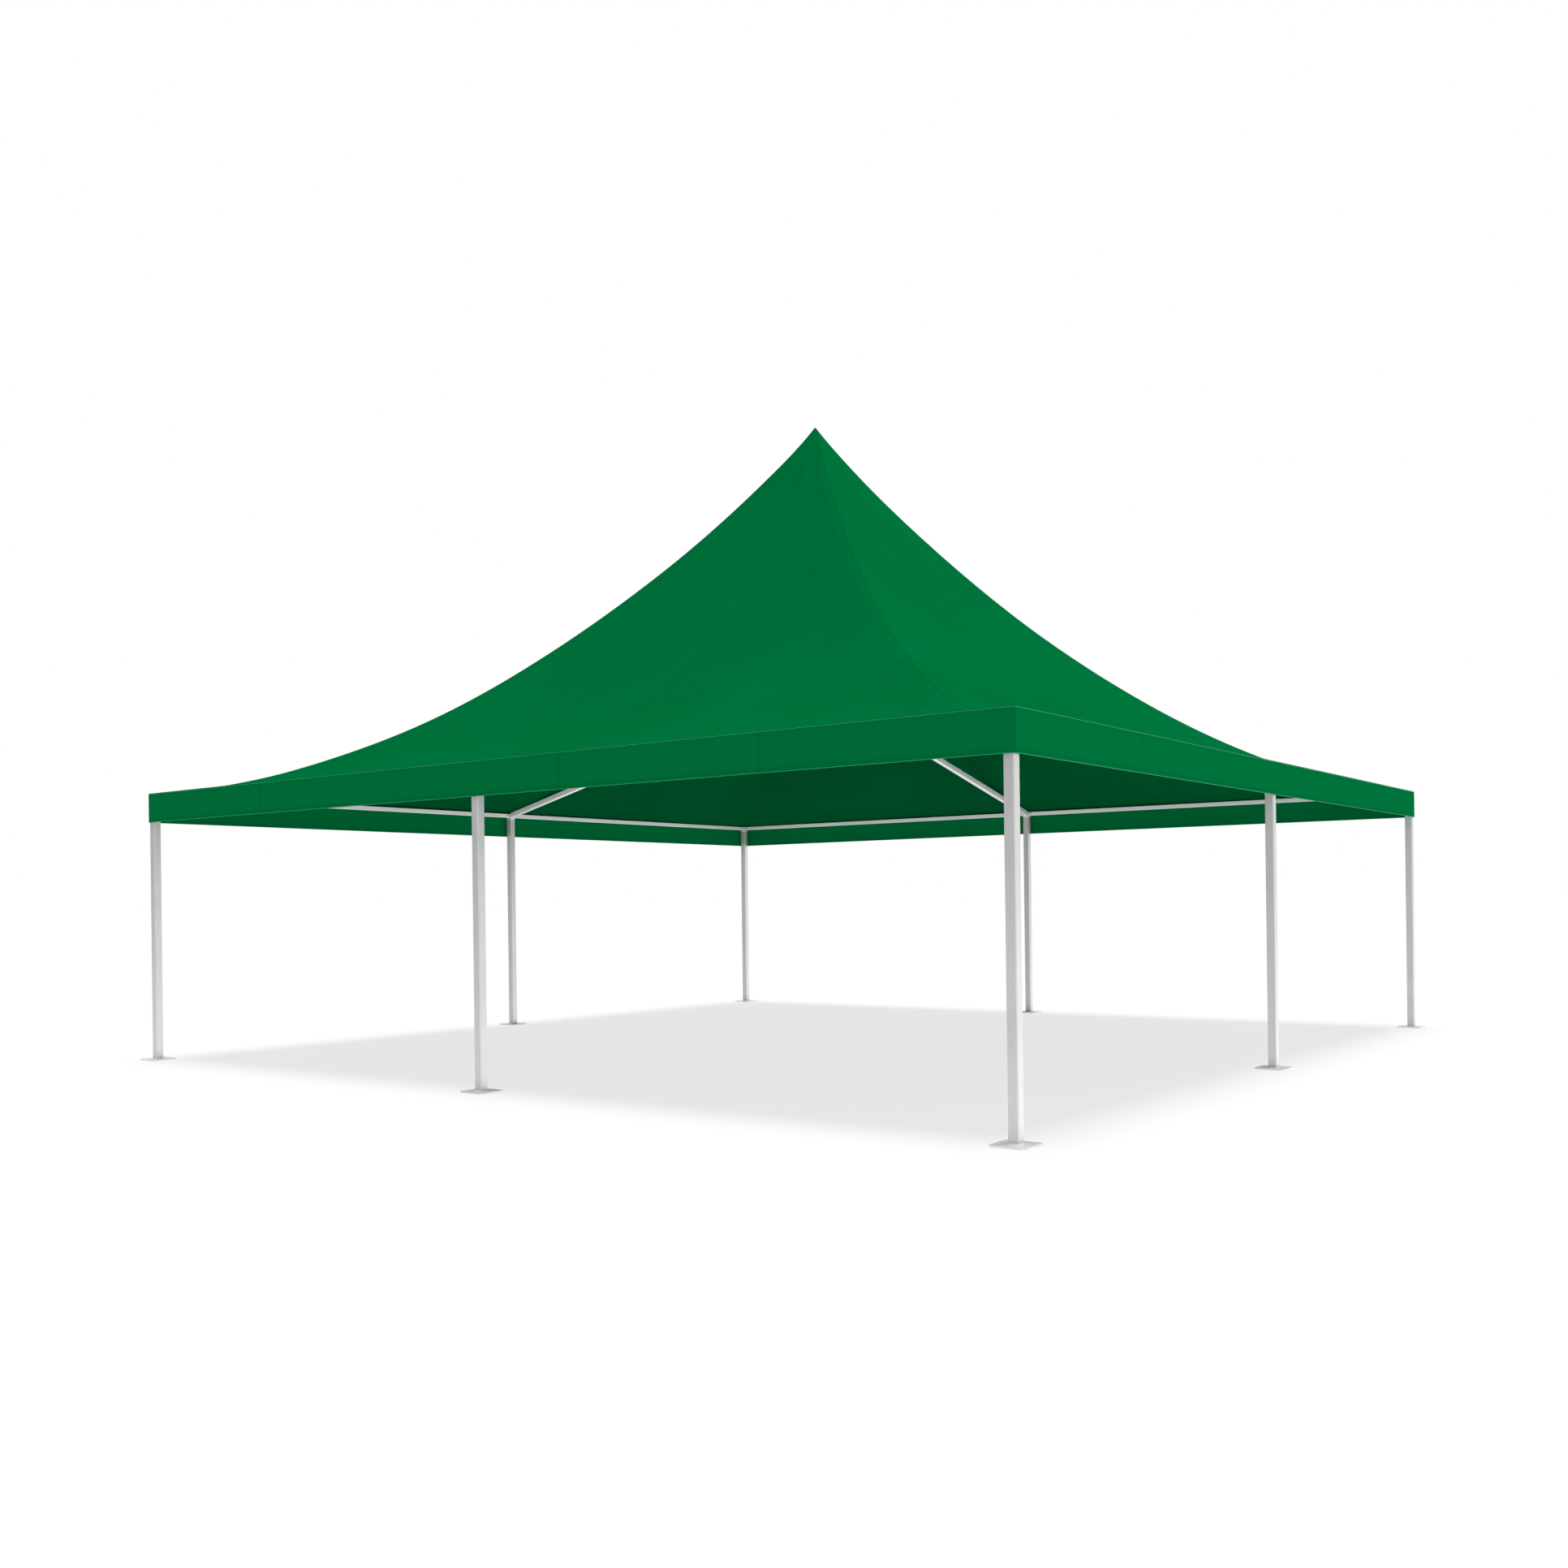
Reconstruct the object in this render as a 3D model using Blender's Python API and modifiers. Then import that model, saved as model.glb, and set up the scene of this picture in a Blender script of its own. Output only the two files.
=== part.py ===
"""A square marquee with a peaked cover: eight legs, perimeter beams, rafters, a king mast and its roof.

Metres, +Z up. The origin is the centre of the plan, on the ground. The front is -Y and the right is +X.
"""

import math
from collections.abc import Callable

import bmesh
import bpy
from mathutils import Matrix, Vector

# The plan. Each side is SIDE long over the valances, and a leg stands at each corner and mid-side.
SIDE = 9.0
HALF = SIDE / 2
LEG_LINE = 4.45

# Heights of the cover above the ground.
HEM = 2.21
EAVE = 2.48
PEAK = 6.11

# The cover's shape: the roof rises as a power of the way in, and the rafters lift it a little at mid-side.
ROOF_POWER = 1.8
LIFT = 0.048
LIFT_PLACE = 0.11
CLOTH = 0.004
PEAK_HOLE = 0.004
ROOF_ROWS = 20
ROOF_COLUMNS = 12
ROW_CROWDING = 1.3

# Square tubes: outer side, wall and corner radius.
LEG_TUBE = (0.070, 0.003, 0.008)
BEAM_TUBE = (0.045, 0.0025, 0.005)
RAFTER_TUBE = (0.055, 0.0025, 0.006)
CORNER_STEPS = 3

# Base plates.
PLATE_SIDE = 0.240
PLATE_THICKNESS = 0.010
PLATE_CHAMFER = 0.022

# Joint blocks on the legs, with spigots that run into the tubes.
BLOCK_HEIGHT = 0.070
SPIGOT_SLACK = 0.002
SPIGOT_LENGTH = 0.060

# The king mast.
HUB_HEIGHT = 3.54
HUB_SIDE = 0.110
HUB_DEPTH = 0.120
MAST_RADIUS = 0.030
MAST_WALL = 0.003
MAST_SIDES = 32
MAST_FOOT = 0.008
HEAD_RADIUS = 0.060
HEAD_RIM = 0.018
HEAD_TIP_RADIUS = 0.012
HEAD_TIP_STEPS = 4

# Pieces that touch keep this gap.
GAP = 0.0003

# Levels that follow from the sizes above.
BEAM_TOP = EAVE - CLOTH - GAP
BEAM_AXIS = BEAM_TOP - BEAM_TUBE[0] / 2
LEG_TOP = BEAM_TOP - BLOCK_HEIGHT - GAP
RAFTER_RISE = HUB_HEIGHT - BEAM_AXIS
RAFTER_ANGLE = math.atan2(RAFTER_RISE, LEG_LINE)

# The four sides, turned about +Z from the right-hand one at +X.
SIDES = {"right": 0.0, "back": math.pi / 2, "left": math.pi, "front": -math.pi / 2}
CORNERS = {
    "back_right": 0.0,
    "back_left": math.pi / 2,
    "front_left": math.pi,
    "front_right": -math.pi / 2,
}

COLOURS = {
    "frame": ((0.66, 0.67, 0.68, 1.0), 0.38, 0.0),
    "plate": ((0.50, 0.51, 0.52, 1.0), 0.50, 0.6),
    "cover": ((0.005, 0.150, 0.048, 1.0), 0.55, 0.0),
}


def clear_scene() -> None:
    for obj in list(bpy.data.objects):
        bpy.data.objects.remove(obj, do_unlink=True)


def new_collection(name: str) -> bpy.types.Collection:
    collection = bpy.data.collections.new(name)
    bpy.context.scene.collection.children.link(collection)
    return collection


def new_material(name: str) -> bpy.types.Material:
    colour, roughness, metallic = COLOURS[name]
    material = bpy.data.materials.new(name)
    material.use_nodes = True
    shader = material.node_tree.nodes["Principled BSDF"]
    shader.inputs["Base Color"].default_value = colour
    shader.inputs["Roughness"].default_value = roughness
    shader.inputs["Metallic"].default_value = metallic
    material.diffuse_color = colour
    return material


def mesh_from(name: str, shape: Callable[[bmesh.types.BMesh], None]) -> bpy.types.Mesh:
    """A new mesh, which the function shape fills."""
    mesh = bpy.data.meshes.new(name)
    edit = bmesh.new()
    shape(edit)
    edit.to_mesh(mesh)
    edit.free()
    return mesh


def box_mesh(name: str, size: Vector, centre: Vector = Vector()) -> bpy.types.Mesh:
    def shape(edit: bmesh.types.BMesh) -> None:
        place = Matrix.Translation(centre) @ Matrix.Diagonal((*size, 1.0))
        bmesh.ops.create_cube(edit, size=1.0, matrix=place)

    return mesh_from(name, shape)


def open_box_mesh(name: str, side: float, length: float, corner: float) -> bpy.types.Mesh:
    """The four walls of a square tube along Z, from 0 to length, with rounded long edges and open ends."""

    def shape(edit: bmesh.types.BMesh) -> None:
        place = Matrix.Translation((0, 0, length / 2)) @ Matrix.Diagonal((side, side, length, 1.0))
        bmesh.ops.create_cube(edit, size=1.0, matrix=place)
        ends = [face for face in edit.faces if abs(face.normal.z) > 0.5]
        bmesh.ops.delete(edit, geom=ends, context="FACES_ONLY")
        long_edges = [edge for edge in edit.edges if len(edge.link_faces) == 2]
        bmesh.ops.bevel(
            edit, geom=long_edges, offset=corner, segments=CORNER_STEPS, profile=0.5, affect="EDGES"
        )

    return mesh_from(name, shape)


class Kit:
    """The collections, materials and helper calls that every piece uses."""

    def __init__(self) -> None:
        self.parts = new_collection("marquee_tent")
        self.cutters = new_collection("cutters")
        self.materials = {name: new_material(name) for name in COLOURS}
        self.root = bpy.data.objects.new("marquee_tent_origin", None)
        self.parts.objects.link(self.root)

    def add(
        self, name: str, mesh: bpy.types.Mesh, place: Matrix = Matrix.Identity(4)
    ) -> bpy.types.Object:
        """A named piece of the object."""
        piece = bpy.data.objects.new(name, mesh)
        self.parts.objects.link(piece)
        piece.parent = self.root
        piece.matrix_world = place
        return piece

    def helper(
        self, name: str, mesh: bpy.types.Mesh, place: Matrix = Matrix.Identity(4)
    ) -> bpy.types.Object:
        """A cutter or a part of a union: it isn't rendered."""
        cutter = bpy.data.objects.new(name, mesh)
        self.cutters.objects.link(cutter)
        cutter.matrix_world = place
        cutter.hide_render = True
        cutter.display_type = "WIRE"
        return cutter

    def paint(self, piece: bpy.types.Object, material: str) -> bpy.types.Object:
        piece.data.materials.clear()
        piece.data.materials.append(self.materials[material])
        return piece


def boolean(piece: bpy.types.Object, other: bpy.types.Object, operation: str) -> None:
    modifier = piece.modifiers.new(operation.lower() + "_" + other.name, "BOOLEAN")
    modifier.operation = operation
    modifier.object = other
    modifier.solver = "EXACT"


def solidify(piece: bpy.types.Object, wall: float) -> None:
    modifier = piece.modifiers.new("wall", "SOLIDIFY")
    modifier.thickness = wall
    modifier.offset = -1.0
    modifier.use_even_offset = True


def finished_mesh(piece: bpy.types.Object, name: str) -> bpy.types.Mesh:
    """The piece's mesh with its modifiers applied, and the piece itself removed."""
    bpy.context.view_layer.update()
    graph = bpy.context.evaluated_depsgraph_get()
    mesh = bpy.data.meshes.new_from_object(piece.evaluated_get(graph))
    mesh.name = name
    bpy.data.objects.remove(piece, do_unlink=True)
    return mesh


def smooth_round(mesh: bpy.types.Mesh) -> None:
    mesh.shade_smooth()
    mesh.set_sharp_from_angle(angle=math.radians(35))


def tube_bore(tube: tuple[float, float, float]) -> float:
    """The side of the largest square bar that passes the tube's rounded inner corners with some slack."""
    side, wall, corner = tube
    inner_corner = max(corner - wall, 0.0)
    return side - 2 * (wall + inner_corner * (1 - math.sqrt(0.5)) + SPIGOT_SLACK)


def turn(angle: float) -> Matrix:
    return Matrix.Rotation(angle, 4, "Z")


def leg_places() -> dict[str, Matrix]:
    """Where each leg stands, by name, turned so that its local +X points out of the tent."""
    places = {}
    for name, angle in SIDES.items():
        places[name] = turn(angle) @ Matrix.Translation((LEG_LINE, 0, 0))
    for name, angle in CORNERS.items():
        places[name] = turn(angle) @ Matrix.Translation((LEG_LINE, LEG_LINE, 0))
    return places


def make_base_plates(kit: Kit) -> None:
    def shape(edit: bmesh.types.BMesh) -> None:
        size = (PLATE_SIDE, PLATE_SIDE, PLATE_THICKNESS, 1.0)
        place = Matrix.Translation((0, 0, PLATE_THICKNESS / 2)) @ Matrix.Diagonal(size)
        bmesh.ops.create_cube(edit, size=1.0, matrix=place)
        upright = [
            edge for edge in edit.edges if abs(edge.verts[0].co.z - edge.verts[1].co.z) > 1e-6
        ]
        bmesh.ops.bevel(
            edit, geom=upright, offset=PLATE_CHAMFER, segments=1, profile=0.5, affect="EDGES"
        )

    mesh = mesh_from("base_plate", shape)
    for name, place in leg_places().items():
        kit.paint(kit.add(f"base_plate_{name}", mesh, place), "plate")


def make_legs(kit: Kit) -> None:
    side, wall, corner = LEG_TUBE
    foot = PLATE_THICKNESS + GAP
    mesh = open_box_mesh("leg", side, LEG_TOP - foot, corner)
    smooth_round(mesh)
    for name, place in leg_places().items():
        leg = kit.add(f"leg_{name}", mesh, place @ Matrix.Translation((0, 0, foot)))
        solidify(leg, wall)
        kit.paint(leg, "frame")


def make_beams(kit: Kit) -> None:
    """Two beams a side, each from a corner joint to the side joint in the middle."""
    side, wall, corner = BEAM_TUBE
    block = LEG_TUBE[0] / 2
    near, far = block + GAP, LEG_LINE - block - GAP
    mesh = open_box_mesh("beam", side, far - near, corner)
    smooth_round(mesh)
    along_y = Matrix.Rotation(-math.pi / 2, 4, "X")
    halves = {
        "right": ("front", "back"),
        "back": ("right", "left"),
        "left": ("back", "front"),
        "front": ("left", "right"),
    }
    for name, angle in SIDES.items():
        first, second = halves[name]
        for half, start in ((first, -far), (second, near)):
            place = turn(angle) @ Matrix.Translation((LEG_LINE, start, BEAM_AXIS)) @ along_y
            beam = kit.add(f"beam_{name}_{half}", mesh, place)
            solidify(beam, wall)
            kit.paint(beam, "frame")


def rafter_frame() -> Matrix:
    """The right-hand rafter's own frame: its +X runs down the rafter, from the mast's axis to the leg."""
    return Matrix.Translation((0, 0, HUB_HEIGHT)) @ Matrix.Rotation(RAFTER_ANGLE, 4, "Y")


def bar_along_x(kit: Kit, name: str, side: float, start: float, end: float) -> bpy.types.Object:
    """A square bar on the X axis, for a union."""
    size = Vector((abs(end - start), side, side))
    return kit.helper(name, box_mesh(name, size, Vector(((start + end) / 2, 0, 0))))


def make_rafters(kit: Kit) -> None:
    """Each rafter is a tube cut upright at both ends, between the hub and the side joint."""
    side, wall, corner = RAFTER_TUBE
    length = math.hypot(LEG_LINE, RAFTER_RISE)
    rough = kit.helper(
        "rafter_rough",
        open_box_mesh("rafter_rough", side, length, corner),
        rafter_frame() @ Matrix.Rotation(math.pi / 2, 4, "Y"),
    )
    solidify(rough, wall)
    near, far = HUB_SIDE / 2 + GAP, LEG_LINE - LEG_TUBE[0] / 2 - GAP
    span = Vector((far - near, HUB_SIDE, PEAK))
    limits = kit.helper(
        "rafter_limits", box_mesh("rafter_limits", span, Vector(((near + far) / 2, 0, EAVE)))
    )
    boolean(rough, limits, "INTERSECT")
    to_world = rough.matrix_world.copy()
    mesh = finished_mesh(rough, "rafter")
    mesh.transform(to_world)
    smooth_round(mesh)
    for name, angle in SIDES.items():
        kit.paint(kit.add(f"rafter_{name}", mesh, turn(angle)), "frame")


def make_joints(kit: Kit) -> None:
    """The joint blocks sit on the legs. Their spigots run down the leg, along the beams and up the rafter."""
    block = LEG_TUBE[0]
    block_centre = Vector((0, 0, BEAM_TOP - BLOCK_HEIGHT / 2))
    down = Vector((tube_bore(LEG_TUBE), tube_bore(LEG_TUBE), SPIGOT_LENGTH + block / 2))
    down_spigot = kit.helper(
        "leg_spigot", box_mesh("leg_spigot", down, Vector((0, 0, LEG_TOP - SPIGOT_LENGTH + down.z / 2)))
    )
    reach = block / 2 + SPIGOT_LENGTH
    beam_spigot_side = tube_bore(BEAM_TUBE)
    beam_mid = Vector((0, 0, BEAM_AXIS))

    def beam_spigot(name: str, x_end: float, y_end: float) -> bpy.types.Object:
        size = Vector((abs(x_end) or beam_spigot_side, abs(y_end) or beam_spigot_side, beam_spigot_side))
        return kit.helper(name, box_mesh(name, size, beam_mid + Vector((x_end, y_end, 0)) / 2))

    corner = kit.helper(
        "corner_joint_rough", box_mesh("corner_joint_rough", Vector((block, block, BLOCK_HEIGHT)), block_centre)
    )
    for spigot in (
        down_spigot,
        beam_spigot("corner_spigot_x", -reach, 0),
        beam_spigot("corner_spigot_y", 0, -reach),
    ):
        boolean(corner, spigot, "UNION")
    corner_mesh = finished_mesh(corner, "corner_joint")

    side = kit.helper(
        "side_joint_rough", box_mesh("side_joint_rough", Vector((block, block, BLOCK_HEIGHT)), block_centre)
    )
    rafter_spigot = bar_along_x(
        kit,
        "side_rafter_spigot",
        tube_bore(RAFTER_TUBE),
        math.hypot(LEG_LINE, RAFTER_RISE) - reach,
        math.hypot(LEG_LINE, RAFTER_RISE),
    )
    rafter_spigot.matrix_world = Matrix.Translation((-LEG_LINE, 0, 0)) @ rafter_frame()
    for spigot in (
        down_spigot,
        beam_spigot("side_spigot_front", 0, -reach),
        beam_spigot("side_spigot_back", 0, reach),
        rafter_spigot,
    ):
        boolean(side, spigot, "UNION")
    side_mesh = finished_mesh(side, "side_joint")

    for name, place in leg_places().items():
        is_corner = name in CORNERS
        kind, mesh = ("corner_joint", corner_mesh) if is_corner else ("side_joint", side_mesh)
        kit.paint(kit.add(f"{kind}_{name}", mesh, place), "frame")


def roof_height(way_out: float, across: float) -> float:
    """The cover's outer height. way_out is 0 at the peak and 1 at the eave; across is 0 at mid-side, 1 at a hip."""
    way_in = 1 - way_out
    plain = EAVE + (PEAK - EAVE) * way_in**ROOF_POWER
    bump = way_in / LIFT_PLACE * math.exp(1 - way_in / LIFT_PLACE)
    return plain + LIFT * bump * (1 - across**2)


def roof_slope(way_out: float) -> float:
    """How steeply the plain roof climbs towards the peak, as a rise for each metre in."""
    return (PEAK - EAVE) * ROOF_POWER * (1 - way_out) ** (ROOF_POWER - 1) / HALF


def make_roof_panels(kit: Kit) -> None:
    """Four panels that meet at the hips, each a grid drawn out to its shape and given its thickness downwards."""
    start = PEAK_HOLE / HALF
    hip_inset = GAP / 2 * math.sqrt(2)

    def shape(edit: bmesh.types.BMesh) -> None:
        bmesh.ops.create_grid(edit, x_segments=ROOF_ROWS, y_segments=ROOF_COLUMNS, size=1.0)
        skin = list(edit.faces)
        drop = {}
        for vert in edit.verts:
            along, across = (vert.co.x + 1) / 2, vert.co.y
            way_out = start + (1 - start) * along**ROW_CROWDING
            x = way_out * HALF
            vert.co = Vector((x, across * (x - hip_inset), roof_height(way_out, abs(across))))
            drop[vert] = CLOTH * math.hypot(1, roof_slope(way_out))
        inner = bmesh.ops.extrude_face_region(edit, geom=skin)
        lowered = [item for item in inner["geom"] if isinstance(item, bmesh.types.BMVert)]
        by_place = {tuple(round(c, 6) for c in vert.co): fall for vert, fall in drop.items()}
        for vert in lowered:
            vert.co.z -= by_place[tuple(round(c, 6) for c in vert.co)]
        bmesh.ops.recalc_face_normals(edit, faces=list(edit.faces))

    mesh = mesh_from("roof_panel", shape)
    smooth_round(mesh)
    for name, angle in SIDES.items():
        kit.paint(kit.add(f"roof_panel_{name}", mesh, turn(angle)), "cover")


def make_valances(kit: Kit) -> None:
    """One flat panel hangs below the eave on each side, mitred at the corners."""
    top = EAVE - CLOTH - GAP
    hip_inset = GAP / 2 * math.sqrt(2)

    def shape(edit: bmesh.types.BMesh) -> None:
        size = (CLOTH, SIDE, top - HEM, 1.0)
        place = Matrix.Translation((HALF - CLOTH / 2, 0, (top + HEM) / 2)) @ Matrix.Diagonal(size)
        bmesh.ops.create_cube(edit, size=1.0, matrix=place)
        for vert in edit.verts:
            vert.co.y = math.copysign(vert.co.x - hip_inset, vert.co.y)

    mesh = mesh_from("valance", shape)
    for name, angle in SIDES.items():
        kit.paint(kit.add(f"valance_{name}", mesh, turn(angle)), "cover")


def mast_profile() -> list[Vector]:
    """The king mast's turned outline, from the open foot up its bore, and from the tip down its outside."""
    foot = HUB_HEIGHT - HUB_DEPTH / 2 - MAST_FOOT
    steepness = roof_slope(0)
    tip = PEAK - CLOTH * math.hypot(1, steepness) - GAP
    lean = math.atan(steepness)
    ball = tip - HEAD_TIP_RADIUS / math.cos(lean)
    arc = []
    for step in range(HEAD_TIP_STEPS + 1):
        angle = math.pi / 2 - lean * step / HEAD_TIP_STEPS
        arc.append(Vector((math.cos(angle), 0, math.sin(angle))) * HEAD_TIP_RADIUS + Vector((0, 0, ball)))
    arc[0].x = 0.0
    rim_top = tip - HEAD_RADIUS * steepness
    rim_bottom = rim_top - HEAD_RIM
    bore = MAST_RADIUS - MAST_WALL
    outside = [
        *arc,
        Vector((HEAD_RADIUS, 0, rim_top)),
        Vector((HEAD_RADIUS, 0, rim_bottom)),
        Vector((MAST_RADIUS, 0, rim_bottom)),
        Vector((MAST_RADIUS, 0, foot)),
    ]
    inside = [Vector((bore, 0, foot)), Vector((bore, 0, rim_bottom)), Vector((0, 0, rim_bottom))]
    return outside + inside


def turned(kit: Kit, name: str, profile: list[Vector]) -> bpy.types.Object:
    mesh = bpy.data.meshes.new(name)
    edges = [(index, index + 1) for index in range(len(profile) - 1)]
    mesh.from_pydata(profile, edges, [])
    piece = kit.helper(name, mesh)
    screw = piece.modifiers.new("turn", "SCREW")
    screw.steps = screw.render_steps = MAST_SIDES
    screw.use_merge_vertices = True
    screw.merge_threshold = 0.0001
    return piece


def make_king_mast(kit: Kit) -> None:
    """The mast stands on a hub block, whose spigots carry it on the four rafters."""
    mast = turned(kit, "mast_turning", mast_profile())
    hub = kit.helper(
        "hub_block",
        box_mesh("hub_block", Vector((HUB_SIDE, HUB_SIDE, HUB_DEPTH)), Vector((0, 0, HUB_HEIGHT))),
    )
    start, end = HUB_SIDE / 4, HUB_SIDE / 2 + SPIGOT_LENGTH
    for name, angle in SIDES.items():
        spigot = bar_along_x(kit, f"hub_spigot_{name}", tube_bore(RAFTER_TUBE), start, end)
        spigot.matrix_world = turn(angle) @ rafter_frame()
        boolean(hub, spigot, "UNION")

    def seat_shape(edit: bmesh.types.BMesh) -> None:
        radius = MAST_RADIUS - MAST_WALL / 2
        bmesh.ops.create_cone(
            edit,
            cap_ends=True,
            segments=MAST_SIDES,
            radius1=radius,
            radius2=radius,
            depth=2 * HUB_DEPTH,
            matrix=Matrix.Translation((0, 0, HUB_HEIGHT)),
        )

    seat = kit.helper("mast_seat", mesh_from("mast_seat", seat_shape))
    boolean(hub, seat, "DIFFERENCE")
    boolean(hub, mast, "UNION")
    mesh = finished_mesh(hub, "king_mast")
    smooth_round(mesh)
    kit.paint(kit.add("king_mast", mesh), "frame")


def main() -> None:
    clear_scene()
    kit = Kit()
    make_base_plates(kit)
    make_legs(kit)
    make_beams(kit)
    make_rafters(kit)
    make_joints(kit)
    make_king_mast(kit)
    make_roof_panels(kit)
    make_valances(kit)


main()
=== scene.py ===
"""The looks of a square marquee tent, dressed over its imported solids.

Metres, +Z up, in the frame of the solids: the origin is the centre of the plan, on the ground. The front is
-Y and the right is +X. The aluminium tubes keep their own solids and get their finish here. The cover, the
base plates and the joint castings are modelled again with their fine shapes.
"""

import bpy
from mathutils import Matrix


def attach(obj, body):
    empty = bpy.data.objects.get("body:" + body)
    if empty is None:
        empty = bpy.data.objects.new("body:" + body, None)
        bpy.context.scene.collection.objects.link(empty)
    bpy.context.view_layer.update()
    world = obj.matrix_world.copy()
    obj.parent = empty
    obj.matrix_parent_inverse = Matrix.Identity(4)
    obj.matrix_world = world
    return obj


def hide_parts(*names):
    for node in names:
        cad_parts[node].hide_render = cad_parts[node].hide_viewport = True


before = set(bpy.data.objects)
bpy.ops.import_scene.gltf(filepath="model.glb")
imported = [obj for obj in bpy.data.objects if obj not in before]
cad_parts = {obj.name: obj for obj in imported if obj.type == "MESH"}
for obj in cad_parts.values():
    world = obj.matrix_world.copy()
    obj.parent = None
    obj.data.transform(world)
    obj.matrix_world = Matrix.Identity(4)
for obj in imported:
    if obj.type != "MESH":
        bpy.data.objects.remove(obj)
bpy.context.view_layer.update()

import logging
import math
from collections.abc import Callable, Iterator, Sequence
from contextlib import contextmanager
from dataclasses import dataclass
from enum import Enum

import bmesh
import bpy
import numpy as np
from mathutils import Matrix, Vector

log = logging.getLogger("marquee")

Material = bpy.types.Material
Piece = bpy.types.Object
Socket = bpy.types.NodeSocket
EdgeTest = Callable[[Vector, Vector], bool]
Bolt = tuple[Vector, Vector]

CLOTH_MAP = "cloth"
MM = 0.001
# How far the legs stand from the middle of the tent, and how wide the cover's strips of cloth are.
LEG_LINE = 4.45
STRIP = 1.8
# What many nodes are set to: a ramp that eases in and out, and a mix of two colours.
EASED = {"interpolation_type": "SMOOTHSTEP"}
COLOURS = {"data_type": "RGBA", "output": "Result"}


class Spot(Enum):
    """A place round the tent, whose value is its turn about +Z from the first of its kind."""

    @property
    def turn(self) -> Matrix:
        """The turn that takes the first spot of the kind to this one."""
        return Matrix.Rotation(self.value, 4, "Z")


class Side(Spot):
    """The four sides, from the right-hand one, at +X."""

    RIGHT = 0.0
    BACK = math.pi / 2
    LEFT = math.pi
    FRONT = -math.pi / 2


class Corner(Spot):
    """The four corners, from the back right one, at +X +Y."""

    BACK_RIGHT = 0.0
    BACK_LEFT = math.pi / 2
    FRONT_LEFT = math.pi
    FRONT_RIGHT = -math.pi / 2


class Slot(Enum):
    """The record's material slots."""

    FRAME = "frame"
    JOINT = "joint"
    PLATE = "plate"
    COVER = "cover"


class Run(Enum):
    """Which way a tube was drawn through its die: along X, Y or Z."""

    ALONG_X = 0
    ALONG_Y = 1
    UPRIGHT = 2


def linear(hex_colour: str) -> tuple[float, float, float, float]:
    """Turns an sRGB colour into the linear one that shaders take.

    Args:
        hex_colour: Six hex digits after a hash sign.

    Returns:
        Red, green, blue and an alpha of 1.
    """
    shares = [int(hex_colour[place : place + 2], 16) / 255 for place in (1, 3, 5)]
    curve = [share / 12.92 if share <= 0.04045 else ((share + 0.055) / 1.055) ** 2.4 for share in shares]
    return (*curve, 1.0)


class Graph:
    """The node tree of a material or a world while it is drawn up."""

    def __init__(self, holder: Material | bpy.types.World) -> None:
        """Empties the holder's tree.

        Args:
            holder: What the tree belongs to.
        """
        holder.use_nodes = True
        self.holder = holder
        self.tree = holder.node_tree
        self.tree.nodes.clear()

    def add(self, kind: str, *inputs: object, output: int | str = 0, **named: object) -> Socket | None:
        """Adds one node, with its settings and what feeds it.

        Args:
            kind: Blender's name for the node, after ShaderNode.
            inputs: What its first inputs take, in their order: a value or another node's output.
            output: Which of its outputs is wanted.
            named: Its settings, and what its other inputs take. An input's name has a capital, and an
                underscore for each space.

        Returns:
            That output, or nothing from a node that has none.
        """
        made = self.tree.nodes.new(f"ShaderNode{kind}")
        sockets = list(enumerate(inputs))
        for name, value in named.items():
            if name.islower():
                setattr(made, name, value)
            else:
                sockets.append((name.replace("_", " "), value))
        for place, value in sockets:
            if isinstance(value, Socket):
                self.tree.links.new(value, made.inputs[place])
            else:
                made.inputs[place].default_value = value
        return made.outputs[output] if made.outputs else None


@dataclass(frozen=True, kw_only=True)
class Finish:
    """What every finish has: two tones, a roughness that varies between two ends, and a fine relief."""

    name: str
    colour: str
    shade: str
    roughness: tuple[float, float]
    # How much of the light a film, or plastic, scatters. Bare metal mirrors the rest.
    film: float = 1.0
    specular: float = 0.5
    relief: float = 0.0
    depth: float = MM

    def draw(self, g: Graph, place: Socket) -> tuple[Socket, Socket, Socket]:
        """Draws the finish's own pattern, and gives its colour, its roughness and its relief's height."""
        raise NotImplementedError

    def tones(self, g: Graph, tone: Socket, wear: Socket) -> tuple[Socket, Socket]:
        """Mixes the two tones by tone, and sets the roughness by wear. Both go from 0 to 1."""
        colour = g.add("Mix", Factor=tone, A=linear(self.colour), B=linear(self.shade), **COLOURS)
        return colour, g.add("MapRange", wear, 0.0, 1.0, *self.roughness)

    def make(self) -> Material:
        """Draws up the finish.

        Returns:
            The material.
        """
        g = Graph(bpy.data.materials.new(self.name))
        colour, rough, height = self.draw(g, g.add("TexCoord", output="Object"))
        skin = {"Base_Color": colour, "Roughness": rough, "Metallic": 1.0 - self.film}
        if self.relief:
            skin["Normal"] = g.add("Bump", Strength=self.relief, Distance=self.depth, Height=height)
        g.add("OutputMaterial", g.add("BsdfPrincipled", Specular_IOR_Level=self.specular, **skin))
        return g.holder


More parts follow.
